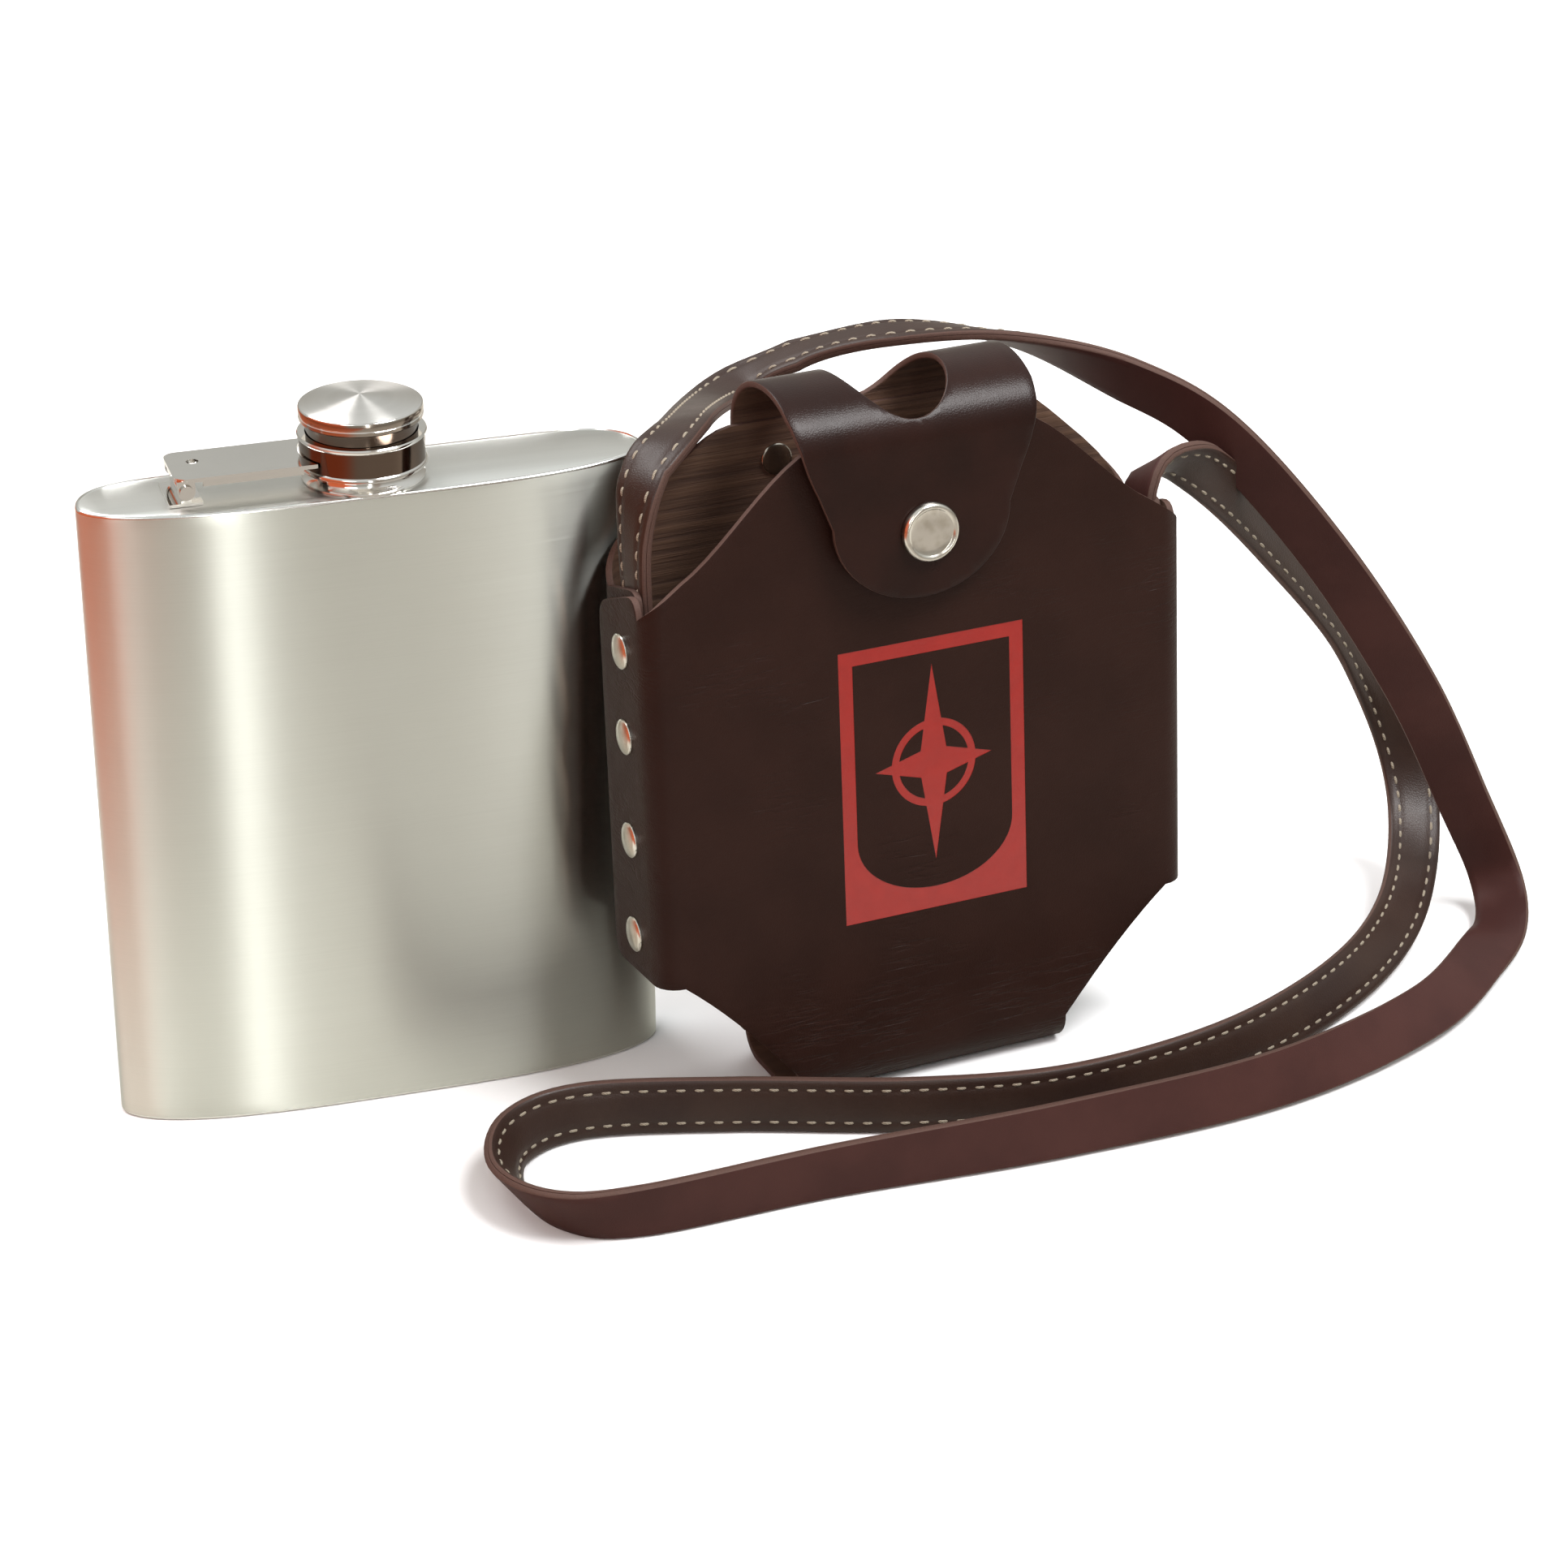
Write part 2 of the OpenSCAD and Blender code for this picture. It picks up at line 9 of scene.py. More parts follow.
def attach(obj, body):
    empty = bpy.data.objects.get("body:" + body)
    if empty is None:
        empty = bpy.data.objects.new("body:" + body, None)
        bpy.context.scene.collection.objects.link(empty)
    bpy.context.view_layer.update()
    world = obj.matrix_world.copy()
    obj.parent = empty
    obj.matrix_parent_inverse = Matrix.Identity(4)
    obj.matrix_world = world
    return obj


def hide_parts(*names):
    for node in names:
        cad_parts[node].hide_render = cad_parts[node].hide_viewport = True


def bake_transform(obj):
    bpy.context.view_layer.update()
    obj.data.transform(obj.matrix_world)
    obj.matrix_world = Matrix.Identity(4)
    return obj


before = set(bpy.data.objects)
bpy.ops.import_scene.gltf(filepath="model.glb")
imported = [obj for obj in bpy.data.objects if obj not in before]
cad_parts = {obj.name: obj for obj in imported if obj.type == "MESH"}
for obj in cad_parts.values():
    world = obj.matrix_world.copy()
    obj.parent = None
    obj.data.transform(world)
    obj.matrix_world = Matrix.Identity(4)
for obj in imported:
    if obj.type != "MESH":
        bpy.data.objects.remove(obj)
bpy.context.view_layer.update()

# ---- Table, light and camera ----
# A white table that runs out of sight, under a strong soft lamp high on the right, one behind
# and a weak one in front. The steel mirrors a pale room with a window and a warm brown corner,
# and a table that is darker than it looks, and brown on the left.
mm = 0.001
camera_place = (-0.2679, -0.9953, 0.5748)
heading, tilt, roll = math.radians(16.80), math.radians(25.73), math.radians(-0.409)

camera = bpy.data.objects.new("camera", bpy.data.cameras.new("camera"))
bpy.context.collection.objects.link(camera)
camera.data.sensor_width = 36
camera.data.lens = 106.55
camera.data.clip_start = 0.01
ahead = Vector((math.sin(heading) * math.cos(tilt), math.cos(heading) * math.cos(tilt), -math.sin(tilt)))
level = Vector((math.cos(heading), -math.sin(heading), 0))
above = level.cross(ahead)
camera_right = level * math.cos(roll) + above * math.sin(roll)
camera_up = above * math.cos(roll) - level * math.sin(roll)
camera.matrix_world = (Matrix.Translation(camera_place)
                       @ Matrix((camera_right, camera_up, -ahead)).transposed().to_4x4())
bpy.context.scene.camera = camera


class Wire:
    """The output of a node; sums on it add Math nodes to its tree."""

    def __init__(self, finish, socket):
        self.finish = finish
        self.socket = socket

    def maths(self, operation, *values):
        return self.finish.node("Math", {"operation": operation}, dict(enumerate(values)))

    def __add__(self, other):
        return self.maths("ADD", self, other)

    def __sub__(self, other):
        return self.maths("SUBTRACT", self, other)

    def __rsub__(self, other):
        return self.maths("SUBTRACT", other, self)

    def __mul__(self, other):
        return self.maths("MULTIPLY", self, other)

    __radd__ = __add__
    __rmul__ = __mul__

    def between(self, low, high):
        """0 below low, 1 above high, and a soft step between them."""
        return self.finish.node("MapRange", {"interpolation_type": "SMOOTHSTEP", "clamp": True},
                                {0: self, 1: low, 2: high})

    def other(self, out):
        """Another output of the same node."""
        return Wire(self.finish, self.socket.node.outputs[out])


class Finish:
    """A material, or the room's light, with one method that adds any node to it."""

    def __init__(self, name, owner=None, **shader):
        self.owner = owner or bpy.data.materials.new(name)
        self.owner.use_nodes = True
        self.tree = self.owner.node_tree
        self.shader = self.tree.nodes.get("Principled BSDF")
        for socket, value in shader.items():
            self.set(socket.replace("_", " ").title().replace("Ior", "IOR"), value)

    def set(self, socket, value):
        """Sets a socket of the shader, or links a wire to it."""
        if isinstance(value, Wire):
            self.tree.links.new(value.socket, self.shader.inputs[socket])
        else:
            self.shader.inputs[socket].default_value = value

    def node(self, kind, settings=None, inputs=None, out=0):
        """A shader node: its settings first, then the values or wires of its sockets."""
        made = self.tree.nodes.new("ShaderNode" + kind)
        for setting, value in (settings or {}).items():
            setattr(made, setting, value)
        for key, value in (inputs or {}).items():
            if isinstance(value, Wire):
                self.tree.links.new(value.socket, made.inputs[key])
            else:
                made.inputs[key].default_value = value
        return Wire(self, made.outputs[out])

    def place(self, scale=(1, 1, 1)):
        """Position on the piece at rest, in metres, stretched by the scale."""
        return self.node("Mapping", {}, {"Vector": self.node("TexCoord", out=3), "Scale": scale})

    def grain(self, size, detail=3, roughness=0.5, stretch=(1, 1, 1)):
        """Noise whose features are about this many metres across."""
        return self.node("TexNoise", {}, {"Vector": self.place([s / size for s in stretch]), "Scale": 1.0,
                                          "Detail": detail, "Roughness": roughness})

    def mix(self, factor, a, b):
        """The colour a where the factor is 0, and b where it is 1."""
        colours = {6: a if isinstance(a, Wire) else (*a, 1), 7: b if isinstance(b, Wire) else (*b, 1)}
        return self.node("Mix", {"data_type": "RGBA"}, {0: factor, **colours}, 2)

    def bump(self, height, depth, under=None):
        """Relief of the given depth in metres, over another relief if there is one."""
        inputs = {"Height": height, "Distance": depth, "Strength": 1.0}
        if under:
            inputs["Normal"] = under
        return self.node("Bump", {}, inputs)


bpy.ops.mesh.primitive_plane_add(size=16)
table = bpy.context.object
table.name = "table"
table_top = Finish("table_top", roughness=0.7, specular_ior_level=0.1)
seen = table_top.node("LightPath")
table_across = table_top.node("SeparateXYZ", {}, {0: table_top.place()})
table_away = table_across.other(1)
mirrored = table_top.mix(table_away.between(-0.32, -0.02), (0.3, 0.28, 0.25), (0.62, 0.61, 0.56))
mirrored = table_top.mix(table_across.between(-0.42, -0.2), (0.42, 0.1, 0.04), mirrored)
table_top.set("Base Color", table_top.mix(seen, mirrored, (0.94, 0.94, 0.95)))
table.data.materials.append(table_top.owner)

room = bpy.data.worlds.new("room")
bpy.context.scene.world = room
walls = Finish("room", room)
across = walls.node("SeparateXYZ", {}, {0: walls.node("TexCoord", out=0)})
away, high = across.other(1), across.other(2)
# The bearing is in degrees, from the side of the room behind the camera.
bearing = across.maths("ARCTAN2", across, 0 - away) * (180 / math.pi)
window = bearing.between(-3, -1.2) * (1 - bearing.between(1.2, 3))
brown_corner = bearing.between(-130, -115) * (1 - bearing.between(-46, -30)) * (1 - high.between(0.45, 0.75))
dull_corner = bearing.between(5, 10) * (1 - bearing.between(19, 26))
shade = walls.mix(high.between(0.05, 0.7), (0.46, 0.44, 0.39), (0.8, 0.82, 0.8))
shade = walls.mix(dull_corner * 0.7, shade, (0.34, 0.26, 0.2))
shade = walls.mix(window * (1 - high.between(0.5, 0.8)), shade, (11, 11, 10.8))
shade = walls.mix(brown_corner, shade, (0.85, 0.18, 0.075))
walls.tree.links.new(shade.socket, walls.tree.nodes["Background"].inputs["Color"])
walls.tree.nodes["Background"].inputs["Strength"].default_value = 0.9


def lamp(name, place, aim, size, power):
    """A round soft lamp at a place, turned to its aim; its size is in metres and its power in watts."""
    light = bpy.data.lights.new(name, "AREA")
    light.shape = "DISK"
    light.size = size
    light.energy = power
    lamp_object = bpy.data.objects.new(name, light)
    lamp_object.location = place
    lamp_object.rotation_euler = (Vector(aim) - Vector(place)).to_track_quat("-Z", "Y").to_euler()
    bpy.context.collection.objects.link(lamp_object)


lamp("overhead_lamp", (0.75, -0.62, 1.75), (0, 0, 0.05), 0.9, 36)
lamp("back_lamp", (-0.7, 0.9, 1.7), (0, 0, 0.05), 1.2, 24)
lamp("front_lamp", (-1.4, -1.6, 1.5), (0, 0, 0.1), 1.0, 8)
bpy.context.scene.view_settings.view_transform = "Standard"

# ---- Shoulder strap ----
# Two strips of leather, a dark grained one and a smooth reddish lining, glued back to back
# and stitched along both edges; the top rivet of each side of the case holds an end.
strap_depth = 3 * mm
stitch_pitch = 4.6 * mm
stitch_length = 3.1 * mm
stitch_line = 4.3 * mm
stitch_sink = 0.3 * mm
thread_half_width = 0.36
thread_half_height = 0.3
route_step = 2.5
look_step = 0.01

# The route runs along the strap's middle in millimetres, and each place on it has the direction
# that its outer face looks in.
strap_route = [
    (-6.6, -12.3, 111), (-6.8, -11.4, 124), (-7, -9, 148), (-3, -5, 163), (11, 11.5, 167.5),
    (38, 71, 151), (58.5, 75, 157.5), (82, 64, 165), (110, 56, 163), (136, 39, 155),
    (156, 25, 143), (183, 16, 110), (208, 13, 70), (227, 16, 32), (236, 14, 11),
    (232, 0, 4), (218, -18, 5), (189, -45, 6.5), (141, -66, 7.2), (81, -74, 7.4),
    (21, -76, 7.4), (-27, -80, 7.4), (-46, -74, 7.4), (-54, -57, 7.4), (-48, -38, 7.4),
    (-29, -30, 7.4), (7, -38, 7.4), (51, -52, 7.4), (91, -57, 7.4), (136, -47, 7),
    (176, -24, 7), (205, 6, 8), (221, 34, 19), (221, 47, 40), (205, 45, 72),
    (177, 34, 107), (155, 22, 131), (140, 14, 142), (129.2, 9, 138), (127.2, 5.6, 111),
]
strap_faces = [
    (-1, -0.1, 0), (-1, -0.1, 0), (-1, -0.2, 0.1), (-0.8, -0.5, 0.5), (-0.4, -0.5, 0.8),
    (-0.1, -0.2, 1), (0, -0.1, 1), (0, 0, 1), (0.2, 0.4, 0.9), (0.3, 0.9, 0.4),
    (0.4, 0.9, 0.3), (0.5, 0.8, 0.1), (0.4, 0.9, 0), (0.5, 0.8, -0.1), (0.5, 0.2, -0.7),
    (0.2, 0, -1), (-0.3, 0.3, -0.9), (-0.3, 0.6, -0.7), (-0.2, 0.9, -0.4), (0, 1, -0.2),
    (0, 1, 0), (0.1, 1, 0.1), (0.6, 0.6, 0.4), (0.8, 0, 0.6), (0.7, -0.6, 0.4),
    (0.1, -1, 0.2), (0, -1, 0.1), (0, -1, 0.1), (0, -1, 0.1), (0.4, -0.8, 0.3),
    (0.5, -0.6, 0.6), (0.3, -0.5, 0.8), (-0.1, -0.8, 0.6), (-0.2, -1, 0.1), (0.1, -0.8, 0.4),
    (0.1, -0.9, 0.4), (0.1, -1, 0.1), (0.2, -0.7, -0.7), (0.9, 0, -0.4), (1, 0.1, 0),
]


def curve_through(points, span, t):
    """The point at the fraction t of a span of a smooth curve through the points."""
    a, b, c, d = (Vector(points[min(max(i, 0), len(points) - 1)]) for i in range(span - 1, span + 3))
    return 0.5 * (2 * b + t * (c - a) + t * t * (2 * a - 5 * b + 4 * c - d)
                  + t ** 3 * (3 * b - a - 3 * c + d))


strap_frames = []
for span in range(len(strap_route) - 1):
    reach = (Vector(strap_route[span + 1]) - Vector(strap_route[span])).length
    steps = max(2, round(reach / route_step))
    for t in (i / steps for i in range(steps + (span == len(strap_route) - 2))):
        spot = curve_through(strap_route, span, t) * mm
        along = (curve_through(strap_route, span, t + look_step)
                 - curve_through(strap_route, span, t - look_step)).normalized()
        wish = curve_through(strap_faces, span, t)
        outward = (wish - wish.dot(along) * along).normalized()
        strap_frames.append((spot, along.cross(outward), outward))
strap_lengths = [0]
for (before, _, _), (after, _, _) in zip(strap_frames, strap_frames[1:]):
    strap_lengths.append(strap_lengths[-1] + (after - before).length)


def mesh_piece(name, points, faces, finishes, face_finish=None, sharp=40):
    """A piece from points and faces, smooth except where faces meet at more than the sharp angle."""
    mesh = bpy.data.meshes.new(name)
    mesh.from_pydata([tuple(p) for p in points], [], faces)
    for finish in finishes:
        mesh.materials.append(finish.owner)
    if face_finish:
        mesh.polygons.foreach_set("material_index", face_finish)
    mesh.polygons.foreach_set("use_smooth", [True] * len(mesh.polygons))
    mesh.set_sharp_from_angle(angle=math.radians(sharp))
    mesh.update()
    piece = bpy.data.objects.new(name, mesh)
    bpy.context.collection.objects.link(piece)
    return piece


def loft(name, rings, finishes, ring_finish=None, closed_ends=True, sharp=40):
    """A skin over closed rings that all have the same number of points."""
    n = len(rings[0])
    points = [p for ring in rings for p in ring]
    faces = [(k * n + j, k * n + (j + 1) % n, (k + 1) * n + (j + 1) % n, (k + 1) * n + j)
             for k in range(len(rings) - 1) for j in range(n)]
    tints = [ring_finish(k, j) for k in range(len(rings) - 1) for j in range(n)] if ring_finish else None
    if closed_ends:
        faces += [tuple(reversed(range(n))), tuple(range((len(rings) - 1) * n, len(rings) * n))]
        tints = tints + [0, 0] if tints else None
    return mesh_piece(name, points, faces, finishes, tints, sharp)


def leather(name, colour, deep_colour, roughness, grain_depth, crease_depth=0.0, gloss=0.15):
    """Smooth finished leather: a fine pebble grain, faint clouds of colour and shallow creases."""
    hide = Finish(name, roughness=roughness, specular_ior_level=gloss)
    clouds = hide.grain(22 * mm, 4)
    hide.set("Base Color", hide.mix(clouds.between(0.3, 0.7), deep_colour, colour))
    pebbles = hide.node("TexVoronoi", {"feature": "DISTANCE_TO_EDGE"},
                        {"Vector": hide.place(), "Scale": 1 / (0.7 * mm)})
    pores = hide.grain(0.5 * mm, 2)
    relief = hide.bump(pebbles.between(0.0, 0.25) * 0.6 + pores * 0.5, grain_depth)
    if crease_depth:
        creases = hide.grain(9 * mm, 3, 0.6, (0.35, 1, 2.6))
        worn = hide.grain(34 * mm, 2).between(0.48, 0.66) * 0.85 + 0.15
        from_crease = creases.maths("ABSOLUTE", creases - 0.5)
        relief = hide.bump(from_crease.between(0, 0.06) * worn, crease_depth, relief)
    hide.set("Normal", relief)
    hide.set("Roughness", roughness + (hide.grain(6 * mm, 3) - 0.5) * 0.12)
    return hide


dark_leather = leather("dark_leather", (0.0235, 0.0087, 0.006), (0.019, 0.0067, 0.0045), 0.42,
                       0.035 * mm, crease_depth=0.1 * mm)
strap_leather = leather("strap_leather", (0.033, 0.016, 0.0108), (0.024, 0.011, 0.008), 0.4,
                        0.03 * mm, gloss=0.34)
lining_leather = leather("lining_leather", (0.056, 0.021, 0.018), (0.043, 0.016, 0.014), 0.5, 0.012 * mm)


def cut_edge_finish():
    """The cut edge of leather: lighter, matt and fibrous."""
    edge = Finish("cut_edge", roughness=0.75)
    fibres = edge.grain(0.4 * mm, 4, 0.6)
    edge.set("Base Color", edge.mix(fibres, (0.045, 0.02, 0.014), (0.105, 0.05, 0.036)))
    edge.set("Normal", edge.bump(fibres, 0.08 * mm))
    return edge


cut_edge = cut_edge_finish()

# Half of the strap's section, from the middle of its outer face round to the middle of its
# lining: a dip along each stitch line and a groove between the layers. The last figure of each
# place says which finish follows it: 0 the outer leather, 1 the cut edge and 2 the lining.
strap_half = [
    (0, 1.5, 0), (2.2, 1.48, 0), (3.7, 1.42, 0), (4.3, 1.2, 0), (4.9, 1.38, 0), (6.2, 1.3, 0),
    (6.75, 1.05, 1), (7, 0.6, 1), (7, 0.1, 1), (6.8, 0, 1), (7, -0.1, 1), (7, -1.0, 1),
    (6.7, -1.4, 2), (4.8, -1.5, 2), (0, -1.5, 2),
]
strap_section = strap_half + [(-u, v, 0) for u, v, _ in reversed(strap_half[1:-1])]
strap_tints = [part for _, _, part in strap_half[:-1]]
strap_tints += list(reversed(strap_tints))
strap = loft("shoulder_strap_leather",
             [[spot + side * u * mm + outward * v * mm for u, v, _ in strap_section]
              for spot, side, outward in strap_frames],
             [strap_leather, cut_edge, lining_leather], lambda k, j: strap_tints[j], sharp=50)
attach(strap, "case")
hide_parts("shoulder_strap")


def strap_at(distance):
    """Place, side and outward direction of the strap at a distance along it."""
    last = len(strap_lengths) - 2
    k = next(i for i in range(last + 1) if strap_lengths[i + 1] >= distance or i == last)
    t = (distance - strap_lengths[k]) / (strap_lengths[k + 1] - strap_lengths[k])
    return [a.lerp(b, t) for a, b in zip(strap_frames[k], strap_frames[k + 1])]


thread = Finish("waxed_thread", roughness=0.6)
strands = thread.node("TexWave", {"wave_type": "BANDS", "bands_direction": "DIAGONAL"},
                      {"Vector": thread.place(), "Scale": 1 / (0.9 * mm), "Distortion": 1.0})
thread.set("Base Color", thread.mix(strands, (0.2, 0.165, 0.12), (0.36, 0.31, 0.24)))
thread.set("Normal", thread.bump(strands, 0.06 * mm))

# How far the thread stands up, in millimetres, and how full it is at six places along a stitch.
stitch_bow = [(-0.5, 0.5), (0.05, 0.9), (0.22, 1), (0.22, 1), (0.05, 0.9), (-0.5, 0.5)]
stitch_points, stitch_faces = [], []
for line in (-stitch_line, stitch_line):
    for count in range(int(strap_lengths[-1] / stitch_pitch) - 6):
        start = (count + 3.5) * stitch_pitch
        first = len(stitch_points)
        for part, (lift, fullness) in enumerate(stitch_bow):
            spot, side, outward = strap_at(start + (part / 5 - 0.5) * stitch_length)
            middle = spot + side * line + outward * (strap_depth / 2 - stitch_sink + lift * mm)
            for corner in range(6):
                a = corner * math.pi / 3
                stitch_points.append(middle + (side * math.cos(a) * thread_half_width
                                               + outward * math.sin(a) * thread_half_height) * fullness * mm)
        for part in range(5):
            for corner in range(6):
                a, b = first + part * 6 + corner, first + part * 6 + (corner + 1) % 6
                stitch_faces.append((a, b, b + 6, a + 6))
stitches = mesh_piece("strap_stitches", stitch_points, stitch_faces, [thread], sharp=60)
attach(stitches, "case")

# ---- Flask body ----
# Brushed steel sheet bent round a bulged front and a nearly flat back, with a top and a bottom
# plate welded into it; the weld is ground to a bright rolled edge.
flask_middle = Vector((-66, 18, 0)) * mm
flask_width = 138 * mm
flask_height = 162 * mm
flask_depth = 29 * mm
outline_points = 360
front_squareness = 3.2
back_squareness = 10


def flask_ring(inset, height):
    """The flask's outline at a height, drawn in by the inset; the back is squarer than the front."""
    ring = []
    for i in range(outline_points):
        a = (i + 0.5) * 2 * math.pi / outline_points
        c, s = math.cos(a), math.sin(a)
        reach = math.copysign(abs(c) ** (2 / (front_squareness if s < 0 else back_squareness)), c)
        across, back = (flask_width / 2 - inset) * reach, (flask_depth / 2 - inset) * s
        ring.append(flask_middle + Vector((across, back, height)))
    return ring


def steel(name, colour, roughness, brushing, stretch, turn=0.0, streak=0.0):
    """Steel with fine brush marks, finer along each axis by its stretch. A turn makes its gloss run
    across the marks, and the streak is how much its roughness varies with them."""
    metal = Finish(name, metallic=1.0, roughness=roughness, anisotropic=1.0 if turn else 0.0,
                   anisotropic_rotation=turn)
    marks = metal.grain(60 * mm, 5, 0.75, stretch)
    clouds = metal.grain(45 * mm, 2)
    darker, lighter = [0.9 * c for c in colour], [min(1, 1.1 * c) for c in colour]
    metal.set("Base Color", metal.mix((marks + clouds) * 0.5, darker, lighter))
    metal.set("Roughness", roughness + (marks - 0.5) * streak)
    metal.set("Normal", metal.bump(marks, brushing))
    return metal


brushed_steel = steel("brushed_steel", (0.66, 0.67, 0.62), 0.31, 0.004 * mm, (1, 1, 140), 0.25, 0.08)
plate_steel = steel("brushed_plate", (0.76, 0.76, 0.73), 0.33, 0.02 * mm, (1, 90, 1), 0.0, 0.1)
bright_steel = steel("bright_edge", (0.8, 0.8, 0.78), 0.16, 0.004 * mm, (1, 1, 30))

edge_round = 0.8 * mm
skin_inset = 0.8 * mm
plate_inset = 0.95 * mm
foot_inset = 0.85 * mm
wall_rings = [flask_ring(skin_inset, 0.9 * mm)]
for step in range(5):
    a = step * math.pi / 8
    wall_rings.append(flask_ring(edge_round * (1 - math.sin(a)), edge_round * (1 - math.cos(a))))
wall_rings += [flask_ring(0, z * mm) for z in (4, 40, 80, 120, 158)]
for step in range(5):
    a = step * math.pi / 8
    wall_rings.append(flask_ring(edge_round * (1 - math.cos(a)),
                                 flask_height - edge_round * (1 - math.sin(a))))
wall_rings.append(flask_ring(1.0 * mm, flask_height - 0.35 * mm))
wall = loft("flask_shell", wall_rings, [brushed_steel, bright_steel],
            lambda k, j: 1 if k < 5 or k > 10 else 0, closed_ends=False, sharp=50)
inner_wall = loft("flask_inner_skin", [flask_ring(skin_inset, z * mm) for z in (160.5, 1.5)], [plate_steel],
                  closed_ends=False)
lid = loft("flask_lid", [flask_ring(plate_inset, flask_height - 1.0 * mm),
                         flask_ring(plate_inset, flask_height - 0.28 * mm),
                         flask_ring(1.3 * mm, flask_height - 0.1 * mm)], [plate_steel], sharp=30)
foot = loft("flask_foot", [flask_ring(1.3 * mm, 0.1 * mm), flask_ring(foot_inset, 0.35 * mm),
                           flask_ring(foot_inset, 1.1 * mm)], [plate_steel], sharp=30)
for piece, node in ((wall, "flask_wall"), (lid, "flask_top_plate"), (foot, "flask_bottom_plate")):
    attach(piece, "flask")
    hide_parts(node)
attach(inner_wall, "flask")

# ---- Neck, collar and hinge ----
# Turned and stamped steel fittings, polished and welded to the top plate: a flared collar
# round the threaded neck, a knuckle, and the strip that carries the cap on a riveted pin.
axis_foot = flask_middle + Vector((0, 0, flask_height))


def turned(name, profile, finishes, tint=None, turns=96, stand=Matrix.Translation(axis_foot), sharp=35):
    """A piece turned about Z from a profile of radii and heights in millimetres, then put on its
    stand; tint says which finish each stretch of the profile has."""
    points = []
    for step in range(turns):
        a = step * 2 * math.pi / turns
        points += [stand @ (Vector((r * math.cos(a), r * math.sin(a), z)) * mm) for r, z in profile]
    n = len(profile)
    faces, tints = [], []
    for k in range(turns):
        for j in range(n - 1):
            a, b = k * n + j, (k + 1) % turns * n + j
            faces.append((a, b, b + 1, a + 1))
            tints.append(tint(j) if tint else 0)
    piece = mesh_piece(name, points, faces, finishes, tints, sharp)
    work = bmesh.new()
    work.from_mesh(piece.data)
    bmesh.ops.remove_doubles(work, verts=work.verts, dist=1e-6)
    bmesh.ops.recalc_face_normals(work, faces=work.faces)
    work.to_mesh(piece.data)
    work.free()
    return piece


def refinish(node, finish):
    """Gives a part of the design, whose shape stays as it is, its finish."""
    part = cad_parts[node]
    part.data.materials.clear()
    part.data.materials.append(finish.owner)
    return part


polished_steel = steel("polished_steel", (0.74, 0.72, 0.69), 0.09, 0.002 * mm, (3, 3, 60), 0.0, 0.08)
# A darker copy of the polished steel with painted shade. It stands for the dark surroundings that the
# sleeve's band mirrors, and for shade on the cap's skirt inside the sleeve.
painted_shade_steel = steel("painted_shade_steel", (0.15, 0.11, 0.085), 0.12, 0.002 * mm, (3, 3, 60), 0.0, 0.08)
# A dimmer copy of the polished steel with a painted dark reflection, for the side bands of the cap's head.
painted_dim_reflection_steel = steel("painted_dim_reflection_steel", (0.4, 0.35, 0.3), 0.16, 0.002 * mm, (3, 3, 60), 0.0, 0.08)
collar = turned("neck_flare", [(11, 0), (14.8, 0), (14.8, 0.45), (14.4, 0.8), (13.6, 1.5), (13.25, 2.3),
                               (13.2, 3.0), (12.9, 3.2), (11, 3.2)], [polished_steel])
thread_turns = [(8.4, -3), (10, -3), (10, 0), (11, 0.1), (11, 3.2), (10.3, 3.3)]
for turn in range(3):
    low = 4.2 + 2 * turn
    thread_turns += [(10.3, low), (10.85, low + 0.45), (11, low + 0.75), (10.85, low + 1.05),
                     (10.3, low + 1.5)]
thread_turns += [(10.3, 9.6), (9.9, 10), (8.8, 10), (8.4, 9.6), (8.4, -3)]
neck = turned("neck_tube", thread_turns, [polished_steel])
for piece, node in ((collar, "neck_collar"), (neck, "threaded_neck")):
    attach(piece, "flask")
    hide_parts(node)
for node in ("hinge_bracket", "hinge_pin", "cap_arm"):
    softened = refinish(node, polished_steel).modifiers.new("worn_edges", "BEVEL")
    softened.width = 0.18 * mm
    softened.segments = 2
    softened.angle_limit = math.radians(40)

# ---- Captive sleeve and cap ----
# The sleeve is a polished ring with a bead at each end. Its band between the beads has painted
# shade: a darker copy of the polished steel that stands for dark reflections. The cap's head is
# turned to a shallow cone, so its tool marks run in circles. The side bands of its head have a
# painted dim reflection, and a plain skirt with painted shade hides in the sleeve.
# The band between the beads has painted shade.
sleeve = turned("cap_sleeve", [(14.4, 3.3), (15.3, 3.3), (15.5, 3.5), (15.5, 4.1), (15.3, 4.4),
                               (15.05, 4.6), (15.05, 10.5), (15.3, 10.7), (15.5, 11), (15.5, 11.5),
                               (15.25, 11.8), (13.55, 11.8), (13.55, 10.8), (14.4, 10.8), (14.4, 3.3)],
                [polished_steel, painted_shade_steel], lambda j: 1 if j == 5 else 0)
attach(sleeve, "arm")
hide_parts("captive_sleeve")

